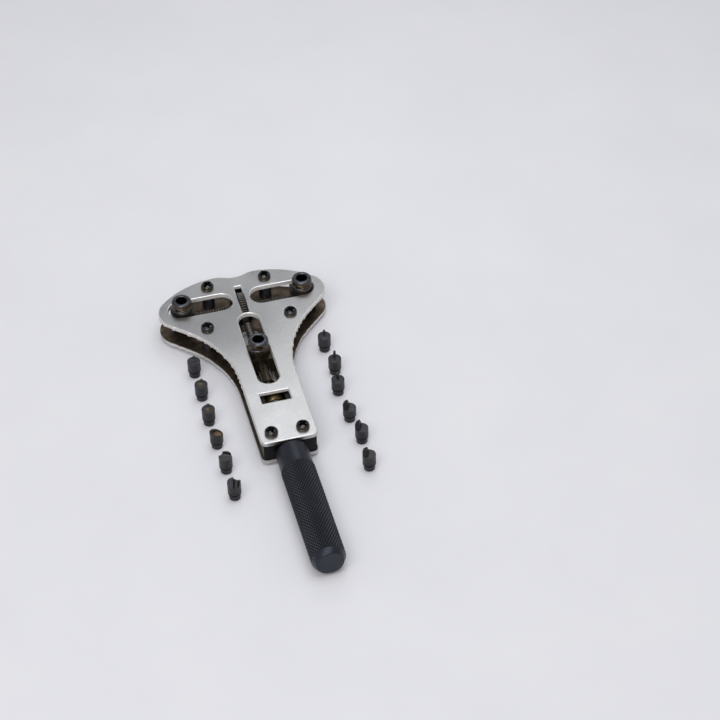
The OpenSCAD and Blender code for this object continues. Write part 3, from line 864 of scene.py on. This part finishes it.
def root_share(radius, across, up, depth):
    """How far a point of a thread lies towards its root, 0 at the crest."""
    return min(1, max(0, (radius - math.hypot(across, up) / MM) / depth))


def cross_screw():
    """Screw with a right-hand and a left-hand thread, and a plain middle for the wheel."""
    half = (cross_high.x - cross_low.x) / 2 / MM
    radius = 2.25
    plain = 4.6
    depth = 0.52
    length = half - 0.5 - plain
    count = math.floor(length / CROSS_PITCH * ROWS_PER_PITCH)
    right = [plain + length * i / count for i in range(count + 1)]
    ends = [(half - 0.25, radius - 0.35), (half, radius - 0.65)]
    places = [(-s, r) for s, r in reversed(ends)] + [(-s, radius) for s in reversed(right)]
    places += [(s, radius) for s in right] + ends
    profile = [(-half * MM, 0)] + [(s * MM, r * MM) for s, r in places] + [(half * MM, 0)]
    verts, faces = lathe(profile, 48, lambda j, s, a: thread_cut(
        abs(s) / MM, a, CROSS_PITCH, depth, plain, half) * MM)
    verts = placed(verts, Matrix.Translation((0, jaw_y, axis_z)) @ ALONG_X)
    obj = new_piece("cross_screw_threaded", verts, faces, THREAD, 50)
    edge_wear(obj, 0.8)
    # The thread's roots are painted in shade.
    point_values(obj, "painted_shade", [root_share(radius, y - jaw_y, z - axis_z, 0.5) for _, y, z in verts])
    stand_for(obj, "cross_screw")


def thumb_wheel():
    """Wheel with a straight knurl, its edges chamfered."""
    teeth = 40
    per_tooth = 8
    tooth_depth = 0.42
    bore_r = 2.28
    bore_points = 48
    chamfer = 0.28 * MM
    radius = (wheel_high.z - wheel_low.z) / 2 / MM
    rim = []
    for i in range(teeth * per_tooth):
        u = i / per_tooth % 1
        lobe = min(1, 1.6 * (1 - abs(2 * u - 1)))
        r = (radius - tooth_depth * (1 - lobe)) * MM
        a = TURN * i / (teeth * per_tooth)
        rim.append((r * math.cos(a), r * math.sin(a)))
    turns = [-TURN * i / bore_points for i in range(bore_points)]
    bore = [(bore_r * MM * math.cos(a), bore_r * MM * math.sin(a)) for a in turns]
    half = (wheel_high.x - wheel_low.x) / 2
    verts, faces, _, _, _ = shell([rim, bore], -half, half, chamfer, chamfer)
    verts = placed(verts, Matrix.Translation((0, jaw_y, axis_z)) @ ALONG_X)
    obj = new_piece("thumb_wheel_knurled", verts, faces, DARK, 24)
    edge_wear(obj, 0.9)
    stand_for(obj, "thumb_wheel")


def drive_screw():
    """Threaded rod, collar seat, shoulder and shaft, along the way from head to handle."""
    start_d = (head_y - drive_high.y) / MM
    end_d = (head_y - drive_low.y) / MM
    radius = 2.1
    depth = 0.34
    thread_from = start_d + 0.6
    thread_to = 83.5
    count = math.floor((thread_to - thread_from) / DRIVE_PITCH * ROWS_PER_PITCH)
    rod = [Vector((thread_from + (thread_to - thread_from) * i / count, radius)) * MM
           for i in range(count + 1)]
    lead = rounded([(start_d, 0, 0), (start_d, radius - 0.8, 0.2), (start_d + 0.5, radius - 0.3, 0)])
    tail = rounded([(84.2, radius, 0), (84.2, 2.6, 0), (87.3, 2.6, 0), (87.3, 3.6, 0.3),
                    (92.3, 3.6, 0.3), (92.3, 3.0, 0), (end_d - 0.5, 3.0, 0), (end_d, 2.5, 0),
                    (end_d, 0, 0)])
    verts, faces = lathe(lead + rod + tail, 48, lambda j, s, a: thread_cut(
        s / MM, -a, DRIVE_PITCH, depth, thread_from, thread_to) * MM)
    verts = placed(verts, Matrix.Translation((0, head_y, axis_z)) @ ALONG_HANDLE)
    obj = new_piece("drive_screw_threaded", verts, faces, THREAD, 50)
    edge_wear(obj, 0.8)
    # The thread's roots are painted in shade.
    point_values(obj, "painted_shade", [root_share(radius, x, z - axis_z, depth) for x, _, z in verts])
    stand_for(obj, "drive_screw")


cross_screw()
thumb_wheel()
drive_screw()

# ---------------------------------------------------------------- bit holders and springs

GROOVE_DOWN = 3.4  # from a holder's top to the middle of its spring's groove


def bit_holder(side):
    """A turned post with a tail in its slider, a groove for the spring and an open socket."""
    low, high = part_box(f"{side}_holder")
    middle = (low + high) / 2
    foot = low.z / MM
    top = high.z / MM
    groove = top - GROOVE_DOWN
    tail = 3.0
    seat = foot + 2.9
    body = 4.9
    root = 3.85
    ring = 4.8
    socket = 2.65
    profile = rounded([
        (foot, 0, 0), (foot, tail, 0), (seat, tail, 0), (seat, body, 0.2),
        (groove - 0.95, body, 0.25), (groove - 0.55, 4.5, 0.2), (groove - 0.5, root, 0.1),
        (groove + 0.5, root, 0.1), (groove + 0.55, 4.5, 0.12), (groove + 0.8, ring, 0.2),
        (top - 0.95, ring, 0.35), (top - 0.3, 4.4, 0.3), (top, 3.85, 0.2), (top, 2.95, 0.12),
        (top - 0.32, socket + 0.01, 0.1), (top - 5.2, socket, 0.2), (top - 5.5, 0, 0)])
    verts, faces = lathe(profile, 96)
    verts = placed(verts, Matrix.Translation((middle.x, middle.y, 0)))
    obj = new_piece(f"{side}_holder_turned", verts, faces, BLACK, 50)
    edge_wear(obj, 0.9)
    side_share(obj)
    # The socket's inside is painted in shade.
    face_values(obj, "painted_shade", lambda at: at.z < high.z - 0.5 * MM
                and math.hypot(at.x - middle.x, at.y - middle.y) < (socket + 0.1) * MM)
    weigh_normals(obj)
    stand_for(obj, f"{side}_holder")


def spring_ring(side):
    """Split ring of round wire with rounded ends; angles in degrees."""
    low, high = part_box(f"{side}_holder")
    middle = (low + high) / 2
    wire = 0.42 * MM
    radius = 4.3 * MM
    height = high.z - GROOVE_DOWN * MM
    opening = 35
    start = 250
    rows = 120
    around = 14
    verts, faces = [], []
    for i in range(rows + 1):
        a = math.radians(start + (360 - opening) * i / rows)
        end = min(i, rows - i)
        thin = wire * math.sqrt(max(0.15, 1 - (1 - min(end, 3) / 3) ** 2))
        out = Vector((math.cos(a), math.sin(a), 0))
        for k in range(around):
            b = TURN * k / around
            point = out * (radius + thin * math.cos(b)) + Vector((0, 0, height + thin * math.sin(b)))
            verts.append(point + Vector((middle.x, middle.y, 0)))
    for i in range(rows):
        for k in range(around):
            n = (k + 1) % around
            faces.append((i * around + k, (i + 1) * around + k, (i + 1) * around + n,
                          i * around + n))
    faces.append(list(range(around)))
    faces.append(list(range(rows * around, (rows + 1) * around))[::-1])
    obj = new_piece(f"{side}_spring_wire", verts, faces, WIRE, 50)
    stand_for(obj, f"{side}_spring")


for jaw in ("left", "right", "lower"):
    bit_holder(jaw)
    spring_ring(jaw)

# ---------------------------------------------------------------- handle


def handle():
    """Ferrule, diamond knurl of two crossing sets of grooves, and a chamfered end."""
    length = (handle_high.y - handle_low.y) / MM
    grip = (handle_high.z - handle_low.z) / 2 / MM
    ferrule = 7.65
    bore = 3.03
    bore_depth = 12.1
    knurl_from = 12.2
    knurl_to = length - 2.8
    starts = 36
    per_start = 8
    columns = starts * per_start
    lead = 2.1
    depth = 0.6
    rows = math.floor((knurl_to - knurl_from) / lead * per_start)
    body = [Vector((knurl_from + (knurl_to - knurl_from) * i / rows, grip)) * MM
            for i in range(rows + 1)]
    start = rounded([(bore_depth, 0, 0), (bore_depth, bore, 0), (0, bore, 0.1), (0, 7.05, 0.25),
                     (0.6, ferrule, 0.3), (knurl_from - 0.35, ferrule, 0.1),
                     (knurl_from - 0.02, grip - depth * 0.6, 0)])
    end = rounded([(knurl_to + 0.03, grip - depth * 0.5, 0), (length - 0.15, grip - 1.75, 0.2),
                   (length, grip - 2.1, 0.15), (length, 0, 0)])
    first, last = len(start), len(start) + rows

    def relief(j, along, a):
        """Depth of the two sets of grooves, shallow at both ends of the knurl."""
        if j < first or j > last:
            return 0
        fade = min(1, min(j - first, last - j) / 3)
        u = starts * a / TURN + along / MM / lead
        v = starts * a / TURN - along / MM / lead
        groove = max(abs(2 * (u % 1) - 1), abs(2 * (v % 1) - 1))
        return -depth * MM * (max(groove, 0.18) * fade + 0.5 * (1 - fade))

    verts, faces = lathe(start + body + end, columns, relief)
    # The first list lightens the knurl's tips, partly wear and partly a painted highlight; the second
    # marks its grooves, painted in shade.
    wear_and_highlight, deep = [], []
    for (x, y, z) in verts:
        off = math.hypot(x, y) / MM
        on_knurl = knurl_from < z / MM < knurl_to
        wear_and_highlight.append(min(1, max(0, (off - grip + 0.20) / 0.12)) if on_knurl else 0)
        deep.append(min(1, max(0, (grip - off) / depth - 0.35) / 0.4) if on_knurl else 0)
    verts = placed(verts, Matrix.Translation((0, handle_high.y, axis_z)) @ ALONG_HANDLE)
    obj = new_piece("handle_knurled", verts, faces, GRIP, 40)
    point_values(obj, "edge", wear_and_highlight)
    point_values(obj, "painted_shade", deep)
    stand_for(obj, "handle_grip")


handle()

# ---------------------------------------------------------------- loose bits

SHANK_T = 3.4  # height of a bit's head above the floor
FOOT_BAND = 0.75  # height of the head's lowest part, painted in shade
BROKEN_EDGE = 0.14
DIMPLED = ("bit_square_2", "bit_square_3")
CUPPED = "bit_prong_1"


def bit_piece(node):
    """The bit's CAD shape as one closed skin with its edges broken and its foot painted in shade."""
    bm = bmesh.new()
    bm.from_mesh(nodes[node].data)
    bmesh.ops.remove_doubles(bm, verts=bm.verts, dist=0.002 * MM)
    bmesh.ops.dissolve_limit(bm, angle_limit=math.radians(1.5), verts=bm.verts, edges=bm.edges)
    bmesh.ops.bisect_plane(bm, geom=bm.verts[:] + bm.edges[:] + bm.faces[:],
                           plane_co=(0, 0, (SHANK_T + FOOT_BAND) * MM), plane_no=(0, 0, 1))
    mesh = bpy.data.meshes.new(node + "_ground")
    bm.to_mesh(mesh)
    bm.free()
    mesh.materials.clear()
    mesh.materials.append(BIT)
    obj = bpy.data.objects.new(node + "_ground", mesh)
    bpy.context.scene.collection.objects.link(obj)
    broken = obj.modifiers.new("broken_edges", "BEVEL")
    broken.width = BROKEN_EDGE * MM
    broken.segments = 2
    broken.limit_method = "ANGLE"
    broken.angle_limit = math.radians(35)
    broken.use_clamp_overlap = True
    made = bpy.data.meshes.new_from_object(obj.evaluated_get(bpy.context.evaluated_depsgraph_get()))
    obj.modifiers.clear()
    obj.data = made
    made.shade_smooth()
    made.set_sharp_from_angle(angle=math.radians(45))
    edge_wear(obj, 0.6)
    side_share(obj)
    foot = SHANK_T * MM
    # The band where the head meets the shank is painted in shade.
    face_values(obj, "painted_shade", lambda at: -0.5 * MM < at.z - foot < 0.7 * MM)
    low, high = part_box(node)
    middle = (low + high) / 2

    def tinted(at):
        """A painted golden reflection in a dimpled head's dimple, and at the bottom of a cupped head.
        """
        off = math.hypot(at.x - middle.x, at.y - middle.y) / MM
        up = at.z / MM
        if node == CUPPED and off < 2.7 and 6.9 < up < 8.55:
            return 0.55 if up < 7.4 else 0.15
        return 0.4 if node in DIMPLED and off < 1.2 and 8 < up < 9.08 else 0

    face_values(obj, "painted_light", tinted)
    weigh_normals(obj)
    stand_for(obj, node)


for node_name in sorted(nodes):
    if node_name.startswith("bit_"):
        bit_piece(node_name)

# ---------------------------------------------------------------- CAD nodes that stay

# The neck block and the bearings take SHADE, near black as painted shade between the plates.
KEPT = {"head_spacers": BLACK, "neck_block": SHADE, "left_bearing": SHADE, "right_bearing": SHADE,
        "left_slider": DARK, "right_slider": DARK, "lower_slider": OILED, "thrust_collar": STRAW,
        "collar_pin": STEEL, "handle_set_screw": BLACK}
for node_name, material in KEPT.items():
    for spot in nodes[node_name].material_slots:
        spot.material = material

# ---------------------------------------------------------------- floor, light and camera

FLOOR_SIZE = 6.0


def make_floor():
    """A wide pale floor just under what the object rests on."""
    bpy.ops.mesh.primitive_grid_add(x_subdivisions=8, y_subdivisions=8, size=FLOOR_SIZE)
    floor = bpy.context.object
    floor.name = "floor"
    floor.location.z = cad_box[0].z - 0.1 * MM
    floor.data.materials.append(floor_card())


def area_light(name, place, target, size, power, colour):
    """A soft rectangular lamp that points at the target."""
    data = bpy.data.lights.new(name, "AREA")
    data.shape = "RECTANGLE"
    data.size, data.size_y = size
    data.energy = power
    data.color = colour
    obj = bpy.data.objects.new(name, data)
    bpy.context.scene.collection.objects.link(obj)
    obj.location = place
    obj.rotation_euler = (Vector(target) - Vector(place)).to_track_quat("-Z", "Y").to_euler()


def make_light():
    """Sky that is warm and pale low down, grey half way up and white overhead, and three lamps."""
    world = bpy.data.worlds.new("studio")
    bpy.context.scene.world = world
    world.use_nodes = True
    tree = world.node_tree
    back = tree.nodes["Background"]
    place = tree.nodes.new("ShaderNodeTexCoord").outputs["Generated"]
    split = tree.nodes.new("ShaderNodeSeparateXYZ")
    tree.links.new(place, split.inputs[0])
    ramp = tree.nodes.new("ShaderNodeValToRGB")
    tree.links.new(split.outputs["Z"], ramp.inputs["Fac"])
    stops = ((0.0, (0.80, 0.72, 0.62)), (0.25, (0.74, 0.70, 0.65)), (0.45, (0.60, 0.60, 0.61)),
             (0.72, (0.45, 0.465, 0.50)), (1.0, (1.0, 1.0, 1.0)))
    for _ in stops[2:]:
        ramp.color_ramp.elements.new(0.5)
    for element, (at, colour) in zip(ramp.color_ramp.elements, stops):
        element.position = at
        element.color = (*colour, 1)
    tree.links.new(ramp.outputs["Color"], back.inputs["Color"])
    back.inputs["Strength"].default_value = 0.60
    aim = (0, 0.02, 0)
    area_light("key", (-0.45, -0.75, 1.05), aim, (0.9, 0.6), 5.5, (1.0, 0.98, 0.95))
    area_light("top", (0.1, -0.05, 1.3), aim, (1.0, 0.8), 4.6, (0.97, 0.98, 1.0))
    area_light("low_back", (0.10, 0.26, 0.34), (0, -0.03, 0), (0.20, 0.10), 0.145, (1, 1, 1))


CAMERA_AZIMUTH = -14.18
CAMERA_ELEVATION = 43.71
CAMERA_ROLL = -1.30
CAMERA_DISTANCE = 1.1221
CAMERA_AIM = (0.04769, 0.03372, 0)
CAMERA_LENS = 117.2


def make_camera():
    """The photo's camera: its angles in degrees, distance and aim in metres, lens in millimetres."""
    data = bpy.data.cameras.new("camera")
    data.sensor_width = 36
    data.lens = CAMERA_LENS
    camera = bpy.data.objects.new("camera", data)
    bpy.context.scene.collection.objects.link(camera)
    bpy.context.scene.camera = camera
    a = math.radians(CAMERA_AZIMUTH)
    e = math.radians(CAMERA_ELEVATION)
    back = Vector((math.sin(a) * math.cos(e), -math.cos(a) * math.cos(e), math.sin(e)))
    camera.location = Vector(CAMERA_AIM) + back * CAMERA_DISTANCE
    turn = (-back).to_track_quat("-Z", "Y").to_matrix().to_4x4()
    roll = Matrix.Rotation(math.radians(CAMERA_ROLL), 4, "Z")
    camera.rotation_euler = (turn @ roll).to_euler()


make_floor()
make_light()
make_camera()
bpy.context.scene.view_settings.view_transform = "Standard"
